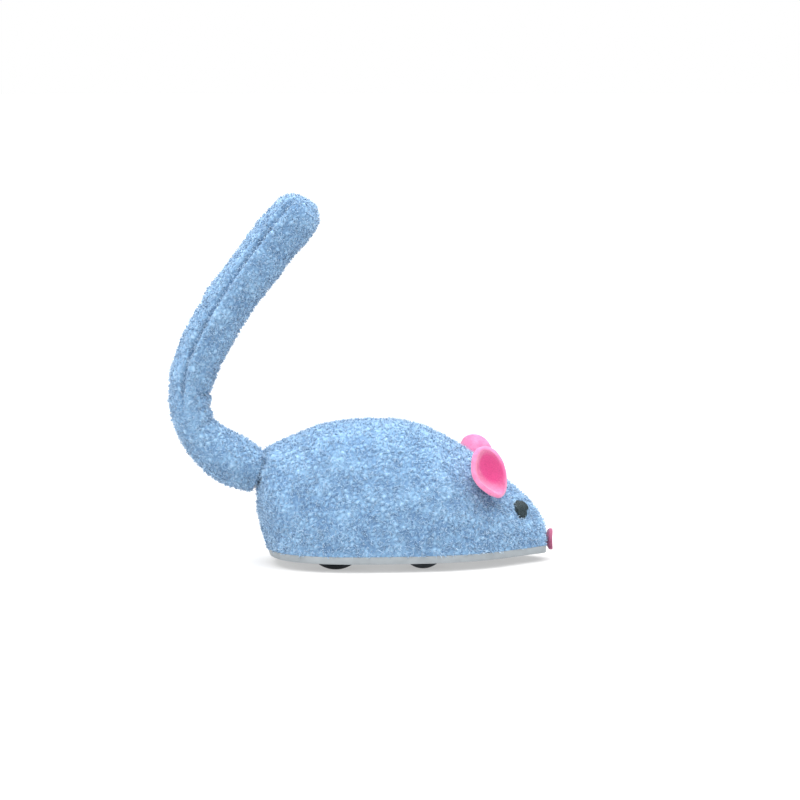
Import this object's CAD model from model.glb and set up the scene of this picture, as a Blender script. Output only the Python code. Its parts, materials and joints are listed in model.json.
import json
import math
import random

import bmesh
import bpy
from mathutils import Matrix, Vector, noise
from mathutils.kdtree import KDTree


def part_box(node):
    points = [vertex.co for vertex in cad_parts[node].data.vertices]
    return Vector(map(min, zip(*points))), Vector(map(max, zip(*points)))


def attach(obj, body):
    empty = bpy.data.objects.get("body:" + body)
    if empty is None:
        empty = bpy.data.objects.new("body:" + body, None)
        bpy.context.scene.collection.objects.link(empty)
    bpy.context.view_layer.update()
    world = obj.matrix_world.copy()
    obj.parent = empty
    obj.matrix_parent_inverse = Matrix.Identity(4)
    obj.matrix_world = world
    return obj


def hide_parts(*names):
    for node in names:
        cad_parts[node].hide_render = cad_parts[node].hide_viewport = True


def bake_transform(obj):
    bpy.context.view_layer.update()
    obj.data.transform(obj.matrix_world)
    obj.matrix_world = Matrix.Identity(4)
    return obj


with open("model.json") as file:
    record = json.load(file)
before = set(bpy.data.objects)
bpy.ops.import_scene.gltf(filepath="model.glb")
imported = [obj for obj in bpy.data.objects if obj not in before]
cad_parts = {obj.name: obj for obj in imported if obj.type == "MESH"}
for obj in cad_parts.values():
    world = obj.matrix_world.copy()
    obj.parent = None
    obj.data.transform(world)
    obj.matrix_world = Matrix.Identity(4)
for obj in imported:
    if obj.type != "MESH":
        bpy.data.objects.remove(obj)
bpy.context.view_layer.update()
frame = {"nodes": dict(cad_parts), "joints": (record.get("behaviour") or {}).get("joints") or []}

# Fleece clockwork mouse, in metres: +X to the nose, +Y to the key's side, +Z up.

MM = 0.001
SCENE = bpy.context.scene
NODES = frame["nodes"]

FLEECE_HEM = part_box("body_cover")[0].z
MERGE = 0.001 * MM
FLAT, CREASED, SHARP = math.radians(0.5), math.radians(35), math.radians(40)
TAIL_JOINT = next(joint for joint in frame["joints"] if joint["name"] == "tail_sway")
TAIL_ROOT = Vector(TAIL_JOINT["pos_m"])


# ---- Meshes ------------------------------------------------------------------------------------------


def clamped(share):
    return min(1.0, max(0.0, share))


def hump(distance, width):
    """1 in the middle of a band and falling smoothly to 0 on both sides of it."""
    return math.exp(-(distance / width) ** 2)


def link(mesh_object):
    SCENE.collection.objects.link(mesh_object)
    return mesh_object


def piece_from(bm, name, smooth=True):
    """A finished object from a bmesh, with its place in its mesh."""
    mesh = bpy.data.meshes.new(name)
    bm.to_mesh(mesh)
    bm.free()
    for face in mesh.polygons:
        face.use_smooth = smooth
    return link(bpy.data.objects.new(name, mesh))


def settle(piece, smooth=True):
    """Apply a piece's modifiers."""
    graph = bpy.context.evaluated_depsgraph_get()
    mesh = bpy.data.meshes.new_from_object(piece.evaluated_get(graph))
    piece.modifiers.clear()
    piece.data = mesh
    for face in mesh.polygons:
        face.use_smooth = smooth
    return piece


def remeshed(piece, voxel):
    modifier = piece.modifiers.new("even", "REMESH")
    modifier.mode = "VOXEL"
    modifier.voxel_size = voxel
    modifier.use_smooth_shade = True
    return settle(piece)


def smoothed(piece, rounds):
    modifier = piece.modifiers.new("soften", "SMOOTH")
    modifier.factor = 0.5
    modifier.iterations = rounds
    return settle(piece)


def eased(node, name, width, segments=2):
    """A CAD node with its flat faces joined and its sharp edges rounded, as a moulded part has."""
    bm = bmesh.new()
    bm.from_mesh(NODES[node].data)
    bmesh.ops.remove_doubles(bm, verts=bm.verts, dist=MERGE)
    bmesh.ops.dissolve_limit(bm, angle_limit=FLAT, verts=bm.verts, edges=bm.edges)
    piece = piece_from(bm, name)
    bevel = piece.modifiers.new("round", "BEVEL")
    bevel.width = width
    bevel.segments = segments
    bevel.limit_method = "ANGLE"
    bevel.angle_limit = SHARP
    settle(piece)
    for edge in piece.data.edges:
        edge.use_edge_sharp = False
    piece.data.set_sharp_from_angle(angle=CREASED)
    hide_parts(node)
    return piece


def reshape(piece, place_for):
    """Move every vertex at once: place_for gives its new place from its old one and its normal."""
    vertices = piece.data.vertices
    before = [(vertex.co.copy(), vertex.normal.copy()) for vertex in vertices]
    places = [coordinate for place, normal in before for coordinate in place_for(place, normal)]
    vertices.foreach_set("co", places)
    piece.data.update()


def store(piece, name, values):
    """A number for each vertex, which a material reads."""
    attribute = piece.data.attributes.new(name, "FLOAT", "POINT")
    attribute.data.foreach_set("value", values)


# ---- Fleece ------------------------------------------------------------------------------------------

TUFT_SIZE, WARP_SIZE, STRAND_SIZE, PATCH_SIZE = 1.55 * MM, 2.6 * MM, 0.75 * MM, 5.5 * MM
TUFT_SHARE, STRAND_SHARE, PATCH_SHARE = 0.55, 0.22, 0.25
TUFT_WARP, TUFT_ROUNDNESS = 0.45, 1.5


def curl_height(place, seed):
    """How high the curly pile stands at a place, from 0 to about 1: small rounded tufts run together."""
    warp = noise.noise_vector(place / WARP_SIZE + Vector((seed, 0, 0))) * TUFT_WARP
    near, second = noise.voronoi(place / TUFT_SIZE + warp, distance_metric="DISTANCE")[0][:2]
    tuft = min(1.0, (second - near) * TUFT_ROUNDNESS)
    strands = noise.noise(place / STRAND_SIZE + Vector((0, seed, 0)))
    patch = noise.noise(place / PATCH_SIZE + Vector((0, 0, seed)))
    return TUFT_SHARE * tuft + STRAND_SHARE * strands + PATCH_SHARE * patch


def raise_pile(piece, depth, seed, amount):
    """Move each vertex out along its normal by its curl's height, and keep that height for the material."""
    heights = []

    def lifted(place, normal):
        height = curl_height(place, seed)
        heights.append(height)
        return place + normal * (height * depth * amount(place))

    reshape(piece, lifted)
    store(piece, "curl", heights)


STRAND_KNEES = (0.38, 0.72)
STRAND_SWELL, STRAND_DROOP = 0.35, 0.45


def strand_mesh(name, length, radius, bend):
    """One tapered fibre, bowed over sideways."""
    bm = bmesh.new()
    bmesh.ops.create_cone(bm, cap_ends=True, segments=3, radius1=radius, radius2=0.0, depth=length)
    bmesh.ops.translate(bm, verts=bm.verts, vec=(0, 0, length / 2))
    for share in STRAND_KNEES:
        everything = bm.verts[:] + bm.edges[:] + bm.faces[:]
        bmesh.ops.bisect_plane(bm, geom=everything, plane_co=(0, 0, share * length), plane_no=(0, 0, 1))
    for vertex in bm.verts:
        share = vertex.co.z / length
        if 0.05 < share < 0.95:
            swell = 1.0 + STRAND_SWELL * math.sin(math.pi * share)
            vertex.co.x *= swell
            vertex.co.y *= swell
        vertex.co.x += bend * length * share ** 2
        vertex.co.z -= STRAND_DROOP * bend * length * share ** 3
    strand = piece_from(bm, name)
    SCENE.collection.objects.unlink(strand)
    return strand


LEAN_SIZE = 2.2 * MM


def pile(base, name, count, strand, seed, lean, sizes, keep=None):
    """Fibres scattered over a fleece and leaning in small shared directions."""
    tree = bpy.data.node_groups.new(name, "GeometryNodeTree")
    tree.interface.new_socket("Geometry", in_out="INPUT", socket_type="NodeSocketGeometry")
    tree.interface.new_socket("Geometry", in_out="OUTPUT", socket_type="NodeSocketGeometry")
    add, join = tree.nodes.new, tree.links.new
    come, leave = add("NodeGroupInput"), add("NodeGroupOutput")
    spread = add("GeometryNodeDistributePointsOnFaces")
    spread.inputs["Density"].default_value = count / sum(face.area for face in base.data.polygons)
    spread.inputs["Seed"].default_value = seed
    join(come.outputs[0], spread.inputs["Mesh"])

    place = add("GeometryNodeInputPosition")
    field = add("ShaderNodeTexNoise")
    field.inputs["Scale"].default_value = 1 / LEAN_SIZE
    field.inputs["Detail"].default_value = 1.0
    centred = add("ShaderNodeVectorMath")
    centred.operation = "SUBTRACT"
    centred.inputs[1].default_value = (0.5, 0.5, 0.5)
    scaled = add("ShaderNodeVectorMath")
    scaled.operation = "SCALE"
    scaled.inputs["Scale"].default_value = lean
    total = add("ShaderNodeVectorMath")
    aim = add("FunctionNodeAlignRotationToVector")
    aim.axis = "Z"
    join(place.outputs[0], field.inputs["Vector"])
    join(field.outputs["Color"], centred.inputs[0])
    join(centred.outputs[0], scaled.inputs[0])
    join(scaled.outputs[0], total.inputs[0])
    join(spread.outputs["Normal"], total.inputs[1])
    join(total.outputs[0], aim.inputs["Vector"])

    turn = add("FunctionNodeRotateRotation")
    turn.rotation_space = "LOCAL"
    angle = add("FunctionNodeRandomValue")
    angle.data_type = "FLOAT_VECTOR"
    angle.inputs["Min"].default_value = (0, 0, 0)
    angle.inputs["Max"].default_value = (0, 0, math.tau)
    angle.inputs["Seed"].default_value = seed + 1
    join(aim.outputs[0], turn.inputs["Rotation"])
    join(angle.outputs[0], turn.inputs["Rotate By"])

    scale = add("FunctionNodeRandomValue")
    scale.inputs[2].default_value, scale.inputs[3].default_value = sizes
    scale.inputs["Seed"].default_value = seed + 2
    shape = add("GeometryNodeObjectInfo")
    shape.inputs["Object"].default_value = strand
    copies = add("GeometryNodeInstanceOnPoints")
    real = add("GeometryNodeRealizeInstances")
    join(spread.outputs["Points"], copies.inputs["Points"])
    join(shape.outputs["Geometry"], copies.inputs["Instance"])
    join(turn.outputs[0], copies.inputs["Rotation"])
    join(scale.outputs[1], copies.inputs["Scale"])
    join(copies.outputs[0], real.inputs[0])
    join(real.outputs[0], leave.inputs[0])

    modifier = base.modifiers.new(name, "NODES")
    modifier.node_group = tree
    graph = bpy.context.evaluated_depsgraph_get()
    mesh = bpy.data.meshes.new_from_object(base.evaluated_get(graph))
    base.modifiers.remove(modifier)
    mesh.name = name
    mesh.materials.clear()
    if keep is not None:
        drop_islands(mesh, len(strand.data.vertices), keep)
    for face in mesh.polygons:
        face.use_smooth = True
    return link(bpy.data.objects.new(name, mesh))


def drop_islands(mesh, size, keep):
    """Leave out the fibres whose foot is in a place that should stay bare."""
    bm = bmesh.new()
    bm.from_mesh(mesh)
    bm.verts.ensure_lookup_table()
    gone = []
    for first in range(0, len(bm.verts), size):
        if not keep(bm.verts[first].co):
            gone += bm.verts[first:first + size]
    bmesh.ops.delete(bm, geom=gone, context="VERTS")
    bm.to_mesh(mesh)
    bm.free()


# ---- Materials ---------------------------------------------------------------------------------------


class Shade:
    """A material with one Principled BSDF and short ways to wire nodes to it."""

    def __init__(self, name, **constants):
        self.material = bpy.data.materials.new(name)
        self.material.use_nodes = True
        self.tree = self.material.node_tree
        self.surface = self.tree.nodes["Principled BSDF"]
        for socket, value in constants.items():
            self.surface.inputs[socket.replace("_", " ")].default_value = value
        self.places = self.add("ShaderNodeTexCoord").outputs["Object"]

    def add(self, kind, **properties):
        node = self.tree.nodes.new(kind)
        for name, value in properties.items():
            setattr(node, name, value)
        return node

    def join(self, start, end):
        self.tree.links.new(start, end)

    def mapped(self, scale, turn=(0, 0, 0)):
        node = self.add("ShaderNodeMapping")
        node.inputs["Scale"].default_value = scale
        node.inputs["Rotation"].default_value = turn
        self.join(self.places, node.inputs["Vector"])
        return node.outputs[0]

    def noise(self, size, detail=2.0, roughness=0.5, places=None):
        node = self.add("ShaderNodeTexNoise")
        node.inputs["Scale"].default_value = 1 / size
        node.inputs["Detail"].default_value = detail
        node.inputs["Roughness"].default_value = roughness
        self.join(places or self.places, node.inputs["Vector"])
        return node.outputs["Fac"]

    def attribute(self, name):
        return self.add("ShaderNodeAttribute", attribute_name=name).outputs["Fac"]

    def ramp(self, value, *stops):
        node = self.add("ShaderNodeValToRGB")
        ramp = node.color_ramp
        while len(ramp.elements) < len(stops):
            ramp.elements.new(0.5)
        for element, (position, colour) in zip(ramp.elements, stops):
            element.position = position
            element.color = (*colour, 1) if len(colour) == 3 else colour
        self.join(value, node.inputs["Fac"])
        return node.outputs["Color"]

    def mix(self, factor, first, second, blend="MIX"):
        node = self.add("ShaderNodeMix", data_type="RGBA", blend_type=blend)
        for socket, value in zip((node.inputs[0], node.inputs[6], node.inputs[7]), (factor, first, second)):
            if isinstance(value, bpy.types.NodeSocket):
                self.join(value, socket)
            else:
                socket.default_value = value
        return node.outputs[2]

    def math(self, operation, first, second=0.0):
        node = self.add("ShaderNodeMath", operation=operation)
        for socket, value in zip(node.inputs, (first, second)):
            if isinstance(value, bpy.types.NodeSocket):
                self.join(value, socket)
            else:
                socket.default_value = value
        return node.outputs[0]

    def group(self, tree, **values):
        node = self.add("ShaderNodeGroup", node_tree=tree)
        for name, value in values.items():
            socket = node.inputs[name.replace("_", " ")]
            if isinstance(value, bpy.types.NodeSocket):
                self.join(value, socket)
            else:
                socket.default_value = value
        return node

    def bump(self, height, distance, strength=1.0, normal=None):
        node = self.add("ShaderNodeBump")
        node.inputs["Strength"].default_value = strength
        node.inputs["Distance"].default_value = distance
        self.join(height, node.inputs["Height"])
        if normal is not None:
            self.join(normal, node.inputs["Normal"])
        return node.outputs["Normal"]

    def finish(self, colour=None, roughness=None, normal=None):
        for socket, value in (("Base Color", colour), ("Roughness", roughness), ("Normal", normal)):
            if value is not None:
                self.join(value, self.surface.inputs[socket])
        return self.material


def wear_group():
    """Shared by the moulded and metal parts: fine grain, soft smudges and a light that gathers on edges."""
    tree = bpy.data.node_groups.new("grain_and_wear", "ShaderNodeTree")
    for name, value in (("Grain Size", 0.4 * MM), ("Smudge Size", 6 * MM)):
        socket = tree.interface.new_socket(name, in_out="INPUT", socket_type="NodeSocketFloat")
        socket.default_value = value
    for name in ("Grain", "Smudge", "Edge"):
        tree.interface.new_socket(name, in_out="OUTPUT", socket_type="NodeSocketFloat")
    add, join = tree.nodes.new, tree.links.new
    come, leave = add("NodeGroupInput"), add("NodeGroupOutput")
    places = add("ShaderNodeTexCoord").outputs["Object"]
    for size_name, result, detail in (("Grain Size", "Grain", 3.0), ("Smudge Size", "Smudge", 5.0)):
        scale = add("ShaderNodeMath")
        scale.operation = "DIVIDE"
        scale.inputs[0].default_value = 1.0
        join(come.outputs[size_name], scale.inputs[1])
        texture = add("ShaderNodeTexNoise")
        texture.inputs["Detail"].default_value = detail
        join(places, texture.inputs["Vector"])
        join(scale.outputs[0], texture.inputs["Scale"])
        join(texture.outputs["Fac"], leave.inputs[result])
    shape = add("ShaderNodeNewGeometry")
    edge = add("ShaderNodeMapRange")
    edge.inputs["From Min"].default_value = 0.52
    edge.inputs["From Max"].default_value = 0.62
    join(shape.outputs["Pointiness"], edge.inputs["Value"])
    join(edge.outputs[0], leave.inputs["Edge"])
    return tree


WEAR = wear_group()


def fleece_material(name, deep, middle, light, seam=False):
    """Curly polyester pile: darker between the tufts, paler on their tips, with slow drifts of tone."""
    shade = Shade(name, Roughness=0.95, Sheen_Weight=0.8, Sheen_Roughness=0.45,
                  Sheen_Tint=(0.75, 0.88, 1.0, 1.0), Specular_IOR_Level=0.12)
    curl = shade.attribute("curl")
    colour = shade.ramp(curl, (0.0, deep), (0.36, middle), (0.8, light))
    drift = shade.ramp(shade.noise(9 * MM, 3.0), (0.3, (0.93, 0.95, 0.97)), (0.7, (1.05, 1.03, 1.01)))
    colour = shade.mix(1.0, colour, drift, "MULTIPLY")
    fine = shade.ramp(shade.noise(0.35 * MM, 3.0), (0.32, (0.9, 0.92, 0.95)), (0.68, (1.07, 1.06, 1.04)))
    colour = shade.mix(1.0, colour, fine, "MULTIPLY")
    if seam:
        colour = shade.mix(shade.attribute("seam"), colour, (0.09, 0.19, 0.36, 1))
    strands = shade.bump(shade.noise(0.28 * MM, 2.0), 0.12 * MM, 0.6)
    return shade.finish(colour, normal=strands)


def strand_material(name, root, tip):
    """Single fibres, a little paler than the ground that they stand in."""
    shade = Shade(name, Roughness=0.9, Sheen_Weight=0.3, Sheen_Roughness=0.6, Specular_IOR_Level=0.12)
    colour = shade.ramp(shade.noise(1.6 * MM, 2.0), (0.35, root), (0.65, tip))
    return shade.finish(colour)


def felt_material(name, deep, light, pale, size=0.45 * MM):
    """Pressed felt: matted fibres in cloudy tones with a faint pale bloom."""
    shade = Shade(name, Roughness=0.92, Sheen_Weight=0.5, Sheen_Roughness=0.5, Specular_IOR_Level=0.15)
    shade.surface.inputs["Sheen Tint"].default_value = (*pale, 1)
    clouds = shade.noise(2.4 * MM, 4.0, 0.6)
    colour = shade.ramp(clouds, (0.3, deep), (0.7, light))
    hollow = shade.attribute("hollow")
    colour = shade.mix(hollow, colour, (deep[0] * 1.03, deep[1] * 0.55, deep[2] * 0.85, 1))
    fibres = shade.ramp(shade.noise(size, 3.0, 0.7), (0.35, (0.9, 0.88, 0.9)), (0.65, (1.08, 1.1, 1.08)))
    colour = shade.mix(1.0, colour, fibres, "MULTIPLY")
    normal = shade.bump(shade.noise(size * 0.6, 4.0, 0.7), 0.10 * MM, 0.7)
    return shade.finish(colour, normal=normal)


def moulded_material(name, colour, roughness, grain=0.35 * MM, depth=0.012 * MM, edge=0.12, specular=0.4):
    """Moulded plastic or rubber: fine grain, faint smudges and slightly polished edges."""
    shade = Shade(name, Specular_IOR_Level=specular)
    wear = shade.group(WEAR, Grain_Size=grain, Smudge_Size=5 * MM)
    dark = tuple(c * 0.88 for c in colour)
    pale = tuple(min(1.0, c * 1.06 + 0.004) for c in colour)
    tone = shade.ramp(wear.outputs["Smudge"], (0.3, dark), (0.7, pale))
    edged = shade.mix(shade.math("MULTIPLY", wear.outputs["Edge"], edge), tone,
                      (*(min(1.0, c * 1.3 + 0.03) for c in colour), 1))
    rough = shade.add("ShaderNodeMapRange")
    rough.inputs["To Min"].default_value = roughness - 0.07
    rough.inputs["To Max"].default_value = roughness + 0.09
    shade.join(wear.outputs["Smudge"], rough.inputs["Value"])
    return shade.finish(edged, rough.outputs[0], shade.bump(wear.outputs["Grain"], depth, 0.8))


def metal_material(name, colour, roughness, stretch=(1, 0.02, 1)):
    """Drawn or stamped metal with fine lines along the way it was worked."""
    shade = Shade(name, Metallic=1.0)
    wear = shade.group(WEAR, Grain_Size=0.3 * MM, Smudge_Size=3 * MM)
    lines = shade.noise(0.12 * MM, 3.0, places=shade.mapped(stretch))
    tone = shade.ramp(wear.outputs["Smudge"], (0.3, tuple(c * 0.8 for c in colour)), (0.7, colour))
    rough = shade.add("ShaderNodeMapRange")
    rough.inputs["To Min"].default_value = roughness - 0.08
    rough.inputs["To Max"].default_value = roughness + 0.12
    shade.join(lines, rough.inputs["Value"])
    return shade.finish(tone, rough.outputs[0], shade.bump(lines, 0.004 * MM, 0.5))


def thread_material(name, deep, light):
    """Glossy embroidery thread with plies that wind round it."""
    shade = Shade(name, Roughness=0.5, Specular_IOR_Level=0.35)
    colour = shade.ramp(shade.noise(0.5 * MM, 2.0), (0.3, deep), (0.75, light))
    plies = shade.add("ShaderNodeTexWave", bands_direction="DIAGONAL")
    plies.inputs["Scale"].default_value = 1 / (0.9 * MM)
    plies.inputs["Distortion"].default_value = 1.5
    shade.join(shade.places, plies.inputs["Vector"])
    return shade.finish(colour, normal=shade.bump(plies.outputs["Fac"], 0.03 * MM, 0.8))


def coat(material, *things):
    """Give each thing this one material."""
    for thing in things:
        thing.data.materials.clear()
        thing.data.materials.append(material)


# ---- Body --------------------------------------------------------------------------------------------

DEEPEST_FOLD = -1.3 * MM  # the shell lies under the fleece
BODY_VOXEL, BODY_PILE = 0.5 * MM, 1.0 * MM
SETTLED = 0.45 * MM  # the ground of the fleece lies inside its CAD face, to leave room for the pile
TUCK_REACH, TUCK_WIDTH, TUCK_DEPTH = 8.6 * MM, 3.2 * MM, 0.6 * MM
GATHERS, GATHER_DEPTH = 7, 0.8 * MM
CREASE_REACH, CREASE_WIDTH, CREASE_DEPTH = 12.6 * MM, 1.1 * MM, 0.75 * MM
HEM_HEIGHT, HEM_DROP = 1.2 * MM, 0.5 * MM


def fleece_body():
    """The fleece drawn over the shell: a closed egg, flat underneath, with tufts and a tuck at the tail."""
    bm = bmesh.new()
    bm.from_mesh(NODES["body_cover"].data)
    bmesh.ops.remove_doubles(bm, verts=bm.verts, dist=0.01 * MM)
    hull = bmesh.ops.convex_hull(bm, input=bm.verts)
    loose = hull["geom_interior"] + hull["geom_unused"]
    spare = {item for item in loose if isinstance(item, bmesh.types.BMVert)}
    bmesh.ops.delete(bm, geom=list(spare), context="VERTS")
    kept = {item for item in hull["geom"] if isinstance(item, bmesh.types.BMFace)}
    bmesh.ops.delete(bm, geom=[face for face in bm.faces if face not in kept], context="FACES_ONLY")
    bmesh.ops.recalc_face_normals(bm, faces=bm.faces)
    piece = remeshed(piece_from(bm, "body_fleece"), BODY_VOXEL)
    smoothed(piece, 3)

    def drawn_over(place, normal):
        above = clamped((place.z - FLEECE_HEM) / (9 * MM))
        swell = noise.noise(place / (17 * MM)) * 0.55 * MM + noise.noise(place / (8 * MM)) * 0.3 * MM
        from_tail = (place - TAIL_ROOT).length
        tuck = max(0.0, 1 - abs(from_tail - TUCK_REACH) / TUCK_WIDTH)
        round_tail = math.atan2(place.y, place.z - TAIL_ROOT.z)
        gather = GATHER_DEPTH * math.cos(round_tail * GATHERS) * tuck
        below_tail = clamped((TAIL_ROOT.z + 3 * MM - place.z) / (5 * MM))
        crease = CREASE_DEPTH * hump(from_tail - CREASE_REACH, CREASE_WIDTH) * below_tail
        out = swell * above + gather - TUCK_DEPTH * tuck - crease - SETTLED
        moved = place + normal * max(out, DEEPEST_FOLD)
        hanging = max(0.0, 1 - (place.z - FLEECE_HEM) / HEM_HEIGHT)
        moved.z = max(moved.z, FLEECE_HEM) - HEM_DROP * hanging
        return moved + Vector((normal.x, normal.y, 0)) * (SETTLED * hanging)

    reshape(piece, drawn_over)

    def pile_amount(place):
        hem = min(1.0, max(0.25, (place.z - FLEECE_HEM) / (2.5 * MM)))
        return hem * (1 - 0.85 * near_an_eye(place))

    raise_pile(piece, BODY_PILE, 3.1, pile_amount)
    return piece


# ---- Tail --------------------------------------------------------------------------------------------

# The stuffed tail's middle line from its root: forwards, upwards and its radius, all in millimetres.
TAIL_LINE = [
    (5.0, -2.4, 6.6), (1.0, -0.4, 8.4), (-4.5, 2.5, 8.7), (-10.0, 5.9, 8.0), (-15.2, 11.2, 6.8),
    (-18.0, 19.0, 6.6), (-17.8, 29.0, 7.3), (-14.2, 38.8, 7.8), (-7.6, 50.8, 8.0), (1.2, 63.6, 8.1),
    (11.4, 76.0, 8.2), (16.2, 81.6, 8.1), (18.8, 84.6, 7.9), (20.4, 86.5, 7.0), (21.8, 88.1, 4.2),
    (22.1, 88.5, 0.6),
]


def tail_curve():
    """The middle line as a smooth curve through the root of the tail."""
    curve = bpy.data.curves.new("tail_line", "CURVE")
    curve.dimensions = "3D"
    spline = curve.splines.new("NURBS")
    spline.points.add(len(TAIL_LINE) - 1)
    for point, (ahead, up, radius) in zip(spline.points, TAIL_LINE):
        point.co = (TAIL_ROOT.x + ahead * MM, 0, TAIL_ROOT.z + up * MM, 1)
        point.radius = radius
    spline.order_u = 4
    spline.use_endpoint_u = True
    spline.resolution_u = 14
    curve.twist_mode = "MINIMUM"
    return curve


def line_points(curve):
    """Points along the smooth middle line, with the distance run to each."""
    holder = link(bpy.data.objects.new("tail_line_holder", curve))
    mesh = bpy.data.meshes.new_from_object(holder.evaluated_get(bpy.context.evaluated_depsgraph_get()))
    points = [vertex.co.copy() for vertex in mesh.vertices]
    bpy.data.objects.remove(holder)
    run = [0.0]
    for before, after in zip(points, points[1:]):
        run.append(run[-1] + (after - before).length)
    return points, run


class Line:
    """Where a place lies along and around the tail: 0 is the mouse's right, 90 degrees inside its bend."""

    def __init__(self, points, run):
        self.points = points
        self.run = run
        self.length = run[-1]
        self.tree = KDTree(len(points))
        for index, point in enumerate(points):
            self.tree.insert(point, index)
        self.tree.balance()

    def locate(self, place):
        near, index, _ = self.tree.find(place)
        ahead = self.points[min(index + 1, len(self.points) - 1)]
        behind = self.points[max(index - 1, 0)]
        along = (ahead - behind).normalized()
        side = Vector((0, -1, 0))
        inwards = along.cross(side).normalized()
        off = place - near
        return self.run[index] / self.length, math.atan2(off.dot(inwards), off.dot(side)), off.length


TAIL_VOXEL, TAIL_PILE = 0.42 * MM, 0.95 * MM
TAIL_SETTLED = 0.35 * MM
TAIL_CREASES, TAIL_CREASE_WIDTH, TAIL_CREASE_DEPTH = (0.235, 0.285, 0.335), 0.011, 0.9 * MM
SEAM_START, SEAM_START_LENGTH = 0.24, 0.12
SEAM_END, SEAM_END_LENGTH = 0.985, 0.02
SEAM_GROOVE, SEAM_GROOVE_DEPTH = 0.75 * MM, 0.95 * MM
SEAM_ROLL, SEAM_ROLL_WIDTH, SEAM_ROLL_HEIGHT = 1.9 * MM, 1.1 * MM, 0.3 * MM
SEAM_LINE, STITCH_LENGTH = 0.4 * MM, 2.6 * MM


def seam_at(share):
    """The seam's angle round the tail: on the mouse's right, behind the middle, further so at the tip."""
    return math.radians(-23 - 17 * share ** 3)


def from_seam(share, angle):
    """The angle from the seam, between half a turn one way and half a turn the other."""
    return (angle - seam_at(share) + math.pi) % math.tau - math.pi


def tail_skin():
    """A closed stuffed tube with a sewn seam, pinched where it bends and gathered at its root."""
    curve = tail_curve()
    line = Line(*line_points(curve))
    curve.bevel_depth = MM
    curve.bevel_resolution = 10
    curve.use_fill_caps = True
    tube = link(bpy.data.objects.new("tail_tube", curve))
    mesh = bpy.data.meshes.new_from_object(tube.evaluated_get(bpy.context.evaluated_depsgraph_get()))
    bpy.data.objects.remove(tube)
    piece = remeshed(link(bpy.data.objects.new("tail_fleece", mesh)), TAIL_VOXEL)
    smoothed(piece, 2)
    seams = []

    def sewn(place, normal):
        share, angle, radius = line.locate(place)
        across = from_seam(share, angle) * max(radius, 3 * MM)
        begun = clamped((share - SEAM_START) / SEAM_START_LENGTH)
        ends = max(0.0, begun * min(1.0, (SEAM_END - share) / SEAM_END_LENGTH))
        groove = hump(across, SEAM_GROOVE) * ends
        roll = hump(abs(across) - SEAM_ROLL, SEAM_ROLL_WIDTH) * ends
        stitch = 0.72 + 0.28 * math.cos(math.tau * share * line.length / STITCH_LENGTH)
        seams.append(0.75 * hump(across, SEAM_LINE) * ends * stitch)
        inner = max(0.0, math.sin(angle)) if share < 0.5 else 0.0
        tuck = sum(hump(share - crease, TAIL_CREASE_WIDTH) for crease in TAIL_CREASES)
        bulge = noise.noise(place / (11 * MM) + Vector((7, 0, 0))) * 0.5 * MM
        seam = bulge + roll * SEAM_ROLL_HEIGHT - groove * SEAM_GROOVE_DEPTH
        return place + normal * (seam - tuck * inner * TAIL_CREASE_DEPTH - TAIL_SETTLED)

    reshape(piece, sewn)

    def pile_amount(place):
        share, angle, _ = line.locate(place)
        close = abs(from_seam(share, angle)) * 8 * MM < 0.9 * MM and share > 0.3
        return 0.45 if close else 1.0

    raise_pile(piece, TAIL_PILE, 8.7, pile_amount)
    store(piece, "seam", seams)
    return piece


# ---- Face --------------------------------------------------------------------------------------------

EAR_SET_BACK = Vector((1.9, 0, 0.9)) * MM
EAR_LEAN, EAR_TURN, EAR_TIP = math.radians(-17), math.radians(66), math.radians(4)
EAR_HALF_WIDE, EAR_HALF_TALL, EAR_FELT = 5.2 * MM, 8.9 * MM, 1.6 * MM
EAR_CELLS = 36


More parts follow.
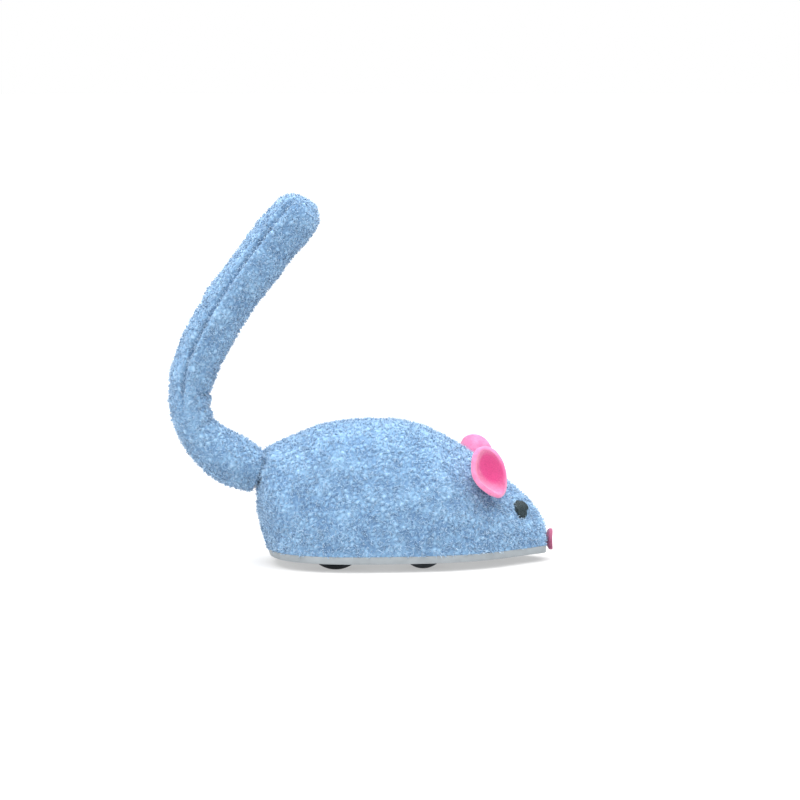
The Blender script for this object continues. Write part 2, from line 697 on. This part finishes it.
def felt_ear(name, side):
    """A felt oval cupped and turned up at its lower lip, standing where its CAD solid stands."""
    low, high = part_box(name)
    turn = (Matrix.Rotation(EAR_LEAN, 3, "Y") @ Matrix.Rotation(side * EAR_TURN, 3, "Z")
            @ Matrix.Rotation(EAR_TIP, 3, "Y"))
    bm = bmesh.new()
    bmesh.ops.create_grid(bm, x_segments=EAR_CELLS, y_segments=EAR_CELLS, size=1.0)
    hollows = []
    for vertex in bm.verts:
        across, up = vertex.co.x, vertex.co.y
        disc_x = across * math.sqrt(1 - up * up / 2)
        disc_y = up * math.sqrt(1 - across * across / 2)
        reach = math.hypot(disc_x, disc_y)
        cup = 4.6 * reach ** 2.2 - 0.5 * disc_y
        lip = max(0.0, -disc_y * 0.8 + disc_x * side * 0.6 - 0.12)
        wave = 0.3 * math.sin(3 * math.atan2(disc_y, disc_x) + 0.6) * reach ** 3
        forward = (cup + 2.2 * lip ** 1.3 + wave) * MM
        rise = 4.2 * MM * lip ** 1.4
        away = math.hypot((disc_x + 0.42 * side) / 0.64, (disc_y - 0.3 - 0.3 * side * disc_x) / 0.62)
        hollows.append(clamped((1.1 - away) / 0.3))
        vertex.co = turn @ Vector((forward, disc_x * EAR_HALF_WIDE, disc_y * EAR_HALF_TALL + rise))
    middle = sum((vertex.co for vertex in bm.verts), Vector()) / len(bm.verts)
    bmesh.ops.translate(bm, verts=bm.verts, vec=(low + high) / 2 - middle - EAR_SET_BACK)
    piece = piece_from(bm, name + "_felt")
    store(piece, "hollow", hollows)
    thick = piece.modifiers.new("felt", "SOLIDIFY")
    thick.thickness = EAR_FELT
    thick.offset = -1.0
    thick.use_even_offset = True
    fine = piece.modifiers.new("fine", "SUBSURF")
    fine.levels = fine.render_levels = 2
    settle(piece)
    facing = turn @ Vector((1, 0, 0))
    marks = piece.data.attributes["hollow"].data
    inside = [mark.value * clamped(3 * vertex.normal.dot(facing))
              for mark, vertex in zip(marks, piece.data.vertices)]
    marks.foreach_set("value", inside)

    def matted(place, normal):
        fuzz = noise.noise(place / (0.6 * MM)) * 0.05 * MM + noise.noise(place / (3 * MM)) * 0.12 * MM
        return place + normal * fuzz

    reshape(piece, matted)
    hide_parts(name)
    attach(piece, "chassis")
    return piece


NOSE_OUT = Vector((0.7, 0, -0.5)) * MM
NOSE_DISH, NOSE_CURL = 0.4 * MM, 0.45 * MM
NOSE_ROOT, NOSE_ROOT_SHARE = 1.5 * MM, 0.7
NOSE_RINGS = 5


def felt_nose():
    """A small felt disc, a little dished, drawn in behind to the blunt end of the snout."""
    low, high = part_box("nose")
    radius = (high.z - low.z) / 2 + 0.2 * MM
    thick = high.x - low.x
    bm = bmesh.new()
    bmesh.ops.create_cone(bm, cap_ends=True, segments=56, radius1=radius, radius2=radius, depth=thick * 0.8)
    caps = [face for face in bm.faces if len(face.verts) > 4]
    for _ in range(NOSE_RINGS):
        bmesh.ops.inset_region(bm, faces=caps, thickness=radius / (NOSE_RINGS + 1.5))
    rim = [edge for edge in bm.edges if edge.is_manifold and edge.calc_face_angle(0) > math.radians(60)]
    bmesh.ops.bevel(bm, geom=rim, offset=thick * 0.3, offset_type="OFFSET", affect="EDGES", segments=4,
                    profile=0.5, material=-1)
    bmesh.ops.rotate(bm, verts=bm.verts, matrix=Matrix.Rotation(math.pi / 2, 3, "Y"))
    for vertex in bm.verts:
        reach = min(1.0, math.hypot(vertex.co.y, vertex.co.z) / radius)
        if vertex.co.x > 0:
            vertex.co.x -= NOSE_DISH * (1 - reach ** 2)
        else:
            vertex.co.x -= NOSE_ROOT * max(0.0, 1 - (reach / NOSE_ROOT_SHARE) ** 2)
        vertex.co.x += noise.noise(vertex.co / (2.2 * MM)) * 0.1 * MM
        vertex.co.x += NOSE_CURL * min(1.0, abs(vertex.co.z) / radius) ** 2
        vertex.co.y *= 1 + 0.02 * math.sin(5 * math.atan2(vertex.co.z, vertex.co.y))
    bmesh.ops.translate(bm, verts=bm.verts, vec=(low + high) / 2 + NOSE_OUT)
    piece = piece_from(bm, "nose_felt")
    fine = piece.modifiers.new("fine", "SUBSURF")
    fine.levels = fine.render_levels = 1
    settle(piece)
    store(piece, "hollow", [0.0] * len(piece.data.vertices))
    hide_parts("nose")
    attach(piece, "chassis")
    return piece


def eye_middle(name):
    low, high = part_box(name)
    return (low + high) / 2


EYES = [eye_middle("eye_left"), eye_middle("eye_right")]
EYE_ROOM, EYE_ROOM_EDGE = 3.8 * MM, 1.2 * MM


def near_an_eye(place):
    """1 under an eye's stitches, 0 well clear of them."""
    gap = min((place - middle).length for middle in EYES)
    return clamped((EYE_ROOM - gap) / EYE_ROOM_EDGE)


# The eye's breadth is in metres and its heights are in millimetres, up from its middle.
EYE_STITCHES = 19
EYE_HALF_WIDE, EYE_HALF_TALL, EYE_RISE = 3.25 * MM, 2.25, 0.95
LOBE_OFFSET, LOBE_HALF_WIDE, LOBE_TOP, LOBE_DROP = 0.06, 0.68, -1.9, 1.5
EYE_FORWARD, EYE_UP = Vector((0.25, 0, 0)) * MM, Vector((-0.06, 0, 1))


def eye_stitches(name, side, surface):
    """Upright satin stitches that fill a round eye with a smaller lobe under it."""
    _, place, normal, _ = surface.closest_point_on_mesh(eye_middle(name))
    up = (EYE_UP - normal * normal.dot(EYE_UP)).normalized()
    across = up.cross(normal).normalized()
    place += EYE_FORWARD
    draw = random.Random(11 if side > 0 else 12)
    bm = bmesh.new()
    for index in range(EYE_STITCHES):
        share = (index + 0.5) / EYE_STITCHES * 2 - 1
        top = EYE_RISE + EYE_HALF_TALL * math.sqrt(max(0.08, 1 - share ** 2))
        bottom = EYE_RISE - EYE_HALF_TALL * max(0.35, 1 - abs(share) ** 3) ** (1 / 3)
        lobe = abs(share - LOBE_OFFSET * side) / LOBE_HALF_WIDE
        if lobe < 1:
            bottom = min(bottom, LOBE_TOP - LOBE_DROP * math.sqrt(1 - lobe ** 2))
        middle = place + across * share * EYE_HALF_WIDE
        add_stitch(bm, surface, middle, up, top * MM, bottom * MM, draw)
    piece = piece_from(bm, name + "_stitches")
    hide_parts(name)
    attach(piece, "chassis")
    return piece


THREAD_STEPS, THREAD_SIDES, THREAD_RADIUS = 9, 6, 0.23 * MM
THREAD_ARCH, THREAD_SINK = 0.85 * MM, 0.12 * MM
THREAD_SLANT, THREAD_UNEVEN = 0.06, 0.12


def add_stitch(bm, surface, middle, up, top, bottom, draw):
    """One thread laid over the fleece and drawn down into it at both ends."""
    slant = draw.uniform(-THREAD_SLANT, THREAD_SLANT)
    top += draw.uniform(-THREAD_UNEVEN, THREAD_UNEVEN) * MM
    bottom += draw.uniform(-THREAD_UNEVEN, THREAD_UNEVEN) * MM
    rings = []
    for step in range(THREAD_STEPS + 1):
        share = step / THREAD_STEPS
        along = middle + up * (bottom + (top - bottom) * share)
        _, base, normal, _ = surface.closest_point_on_mesh(along)
        across = up.cross(normal).normalized()
        arch = THREAD_ARCH * math.sin(math.pi * share) ** 0.5 - THREAD_SINK
        place = base + normal * arch + across * slant * (share - 0.5) * 4 * MM
        circle = bmesh.ops.create_circle(bm, cap_ends=False, segments=THREAD_SIDES, radius=THREAD_RADIUS)
        frame_of = Matrix((across, normal, up)).transposed()
        for vertex in circle["verts"]:
            vertex.co = frame_of @ vertex.co + place
        rings.append(circle["verts"])
    for before, after in zip(rings, rings[1:]):
        edges = {edge for ring in (before, after) for vertex in ring for edge in vertex.link_edges
                 if edge.other_vert(vertex) in ring}
        bmesh.ops.bridge_loops(bm, edges=list(edges))
    for ring in (rings[0], rings[-1]):
        bmesh.ops.contextual_create(bm, geom=ring)
    bmesh.ops.recalc_face_normals(bm, faces=bm.faces)


# ---- Camera, light and floor -------------------------------------------------------------------------

VIEW_WIDE = 268.0 * MM
VIEW_CENTRE = Vector((8.0 * MM, 0, 54.5 * MM))
VIEW_FROM = 1.0
VIEW_CLIP = (0.05, 20)
VIEW_AZIMUTH, VIEW_ELEVATION = math.radians(-4.5), math.radians(6.3)


def add_camera():
    camera = bpy.data.cameras.new("camera")
    camera.lens = camera.sensor_width * VIEW_FROM / VIEW_WIDE
    camera.clip_start, camera.clip_end = VIEW_CLIP
    holder = link(bpy.data.objects.new("camera", camera))
    back = Vector((math.sin(VIEW_AZIMUTH) * math.cos(VIEW_ELEVATION),
                   -math.cos(VIEW_AZIMUTH) * math.cos(VIEW_ELEVATION), math.sin(VIEW_ELEVATION)))
    holder.location = VIEW_CENTRE + back * VIEW_FROM
    holder.rotation_mode = "QUATERNION"
    holder.rotation_quaternion = (-back).to_track_quat("-Z", "Y")
    SCENE.camera = holder


LIT_POINT = Vector((0, 0, 30 * MM))


def add_light(name, place, width, power):
    light = bpy.data.lights.new(name, "AREA")
    light.size = width
    light.energy = power
    holder = link(bpy.data.objects.new(name, light))
    holder.location = place
    holder.rotation_mode = "QUATERNION"
    holder.rotation_quaternion = (LIT_POINT - Vector(place)).to_track_quat("-Z", "Y")


FLOOR_HALF, FLOOR_GLOW = 60.0, 0.42
FLOOR_LOW, FLOOR_HIGH = (0.39, 0.39, 0.39), (0.41, 0.41, 0.41)


def add_floor():
    """White paper lit from below too, as on a product table, which keeps the shadow soft."""
    bm = bmesh.new()
    bmesh.ops.create_grid(bm, x_segments=1, y_segments=1, size=FLOOR_HALF)
    floor = piece_from(bm, "floor", smooth=False)
    shade = Shade("floor_paper", Roughness=0.9, Specular_IOR_Level=0.1, Emission_Color=(1, 1, 1, 1),
                  Emission_Strength=FLOOR_GLOW)
    tone = shade.ramp(shade.noise(0.2, 2.0), (0.3, FLOOR_LOW), (0.7, FLOOR_HIGH))
    coat(shade.finish(tone), floor)


SKY_LIGHT = 0.42


def add_world():
    world = bpy.data.worlds.new("studio")
    world.use_nodes = True
    tree = world.node_tree
    sky = tree.nodes["Background"]
    sky.inputs["Color"].default_value = (1, 1, 1, 1)
    seen = tree.nodes.new("ShaderNodeLightPath").outputs["Is Camera Ray"]
    strength = tree.nodes.new("ShaderNodeMapRange")
    strength.inputs["To Min"].default_value = SKY_LIGHT
    strength.inputs["To Max"].default_value = 1.0
    tree.links.new(seen, strength.inputs["Value"])
    tree.links.new(strength.outputs[0], sky.inputs["Strength"])
    SCENE.world = world


def add_sun(direction, strength, softness):
    sun = bpy.data.lights.new("overhead", "SUN")
    sun.energy = strength
    sun.angle = math.radians(softness)
    holder = link(bpy.data.objects.new("overhead", sun))
    holder.rotation_mode = "QUATERNION"
    holder.rotation_quaternion = (-Vector(direction)).to_track_quat("-Z", "Y")


add_camera()
add_world()
add_floor()
add_sun((0.05, -0.1, 1.0), 6.6, 100)
add_light("front_panel", (0.4, -0.8, 0.35), 0.4, 0.5)
add_light("rump_panel", (-0.9, -0.2, 0.3), 0.5, 3.0)
SCENE.view_settings.view_transform = "Standard"

# ---- The mouse ---------------------------------------------------------------------------------------

BLUE_DEEP, BLUE, BLUE_PALE = (0.14, 0.255, 0.42), (0.25, 0.42, 0.61), (0.40, 0.58, 0.76)

body = fleece_body()
coat(fleece_material("fleece_body", BLUE_DEEP, BLUE, BLUE_PALE), body)
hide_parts("body_cover")
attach(body, "chassis")

tail = tail_skin()
coat(fleece_material("fleece_tail", BLUE_DEEP, BLUE, BLUE_PALE, seam=True), tail)


def stands_clear(place):
    """Fibres stop short of the hem and of the eyes' stitches."""
    return place.z > FLEECE_HEM - 0.2 * MM and near_an_eye(place) < 0.5


long_strand = strand_mesh("long_strand", 1.7 * MM, 0.13 * MM, 0.75)
short_strand = strand_mesh("short_strand", 1.2 * MM, 0.17 * MM, 1.0)
body_pile = [
    pile(body, "body_pile_long", 13000, long_strand, 21, 1.5, (0.6, 1.1), stands_clear),
    pile(body, "body_pile_short", 13000, short_strand, 42, 1.9, (0.6, 1.2), stands_clear),
]
tail_pile = [
    pile(tail, "tail_pile_long", 5500, long_strand, 63, 1.5, (0.6, 1.0)),
    pile(tail, "tail_pile_short", 6500, short_strand, 84, 1.9, (0.6, 1.2)),
]
pale_strands = strand_material("fibres_pale", (0.29, 0.46, 0.66), (0.46, 0.64, 0.82))
soft_strands = strand_material("fibres_soft", (0.20, 0.35, 0.54), (0.32, 0.50, 0.70))
for pieces in (body_pile, tail_pile):
    coat(pale_strands, pieces[0])
    coat(soft_strands, pieces[1])
for fibres in body_pile:
    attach(fibres, "chassis")

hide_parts("tail_cover", "tail_filling")
for skin in (tail, *tail_pile):
    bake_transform(skin)

PINK_DEEP, PINK, PINK_BLOOM = (0.66, 0.17, 0.34), (0.72, 0.24, 0.42), (1.0, 0.8, 0.88)
pink = felt_material("pink_felt_cloth", PINK_DEEP, PINK, PINK_BLOOM)
coat(pink, felt_ear("ear_left", 1), felt_ear("ear_right", -1))
coat(felt_material("raspberry_felt_cloth", (0.26, 0.06, 0.12), (0.38, 0.12, 0.20), (0.8, 0.5, 0.65)),
     felt_nose())
thread = thread_material("eye_thread", (0.004, 0.012, 0.016), (0.035, 0.06, 0.07))
coat(thread, eye_stitches("eye_left", 1, body), eye_stitches("eye_right", -1, body))

# ---- Moulded and metal parts -------------------------------------------------------------------------

base_plastic = moulded_material("base_plastic_grained", (0.30, 0.33, 0.35), 0.6, specular=0.3)
shell_plastic = moulded_material("shell_plastic_grained", (0.66, 0.66, 0.64), 0.5)
case_plastic = moulded_material("case_plastic_satin", (0.78, 0.78, 0.76), 0.4)
gear_plastic = moulded_material("gear_plastic_smooth", (0.84, 0.83, 0.78), 0.3)
wheel_plastic = moulded_material("wheel_plastic_smooth", (0.014, 0.020, 0.028), 0.32, edge=0.3)
tyre_rubber = moulded_material("tyre_rubber_matt", (0.012, 0.015, 0.020), 0.62, grain=0.25 * MM,
                               depth=0.03 * MM, edge=0.4, specular=0.3)
key_plastic = moulded_material("key_plastic_smooth", (0.38, 0.385, 0.375), 0.33)
axle_steel = metal_material("axle_steel_drawn", (0.62, 0.62, 0.64), 0.28, (1, 0.02, 1))
screw_steel = metal_material("screw_steel_plated", (0.66, 0.66, 0.68), 0.32, (1, 1, 0.1))
spring_steel = metal_material("spring_steel_blued", (0.22, 0.25, 0.34), 0.3, (0.1, 1, 0.1))
brass = metal_material("brass_stamped", (0.78, 0.57, 0.24), 0.3, (1, 1, 0.05))

EASED = {
    "base_plate": (base_plastic, 0.25 * MM, "chassis", "base_plastic"),
    "winding_key": (key_plastic, 0.45 * MM, "key", "key_plastic"),
    "rear_wheel_left": (wheel_plastic, 0.15 * MM, "rear_wheels", "wheel_plastic"),
    "rear_wheel_right": (wheel_plastic, 0.15 * MM, "rear_wheels", "wheel_plastic"),
    "rear_tyre_left": (tyre_rubber, 0.15 * MM, "rear_wheels", "tyre_rubber"),
    "rear_tyre_right": (tyre_rubber, 0.15 * MM, "rear_wheels", "tyre_rubber"),
    "front_wheel_left": (wheel_plastic, 0.15 * MM, "front_wheels", "wheel_plastic"),
    "front_wheel_right": (wheel_plastic, 0.15 * MM, "front_wheels", "wheel_plastic"),
    "shell_screws": (screw_steel, 0.1 * MM, "chassis", "screw_steel"),
    "motor_screws": (screw_steel, 0.1 * MM, "chassis", "screw_steel"),
}
for node, (material, width, rides_on, slot_name) in EASED.items():
    moulded = eased(node, node + "_eased", width)
    coat(material, moulded)
    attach(moulded, rides_on)

KEPT = {
    shell_plastic: ("body_shell",),
    case_plastic: ("motor_case_left", "motor_case_right"),
    gear_plastic: ("great_gear", "idler_gear", "idler_pinion", "axle_pinion"),
    axle_steel: ("rear_axle", "front_axle", "idler_shaft", "winding_arbor", "spring_post"),
    screw_steel: ("case_screws",),
    spring_steel: ("mainspring", "click_spring"),
    brass: ("ratchet_wheel", "click_rivet"),
}
for material, names in KEPT.items():
    for name in names:
        coat(material, NODES[name])
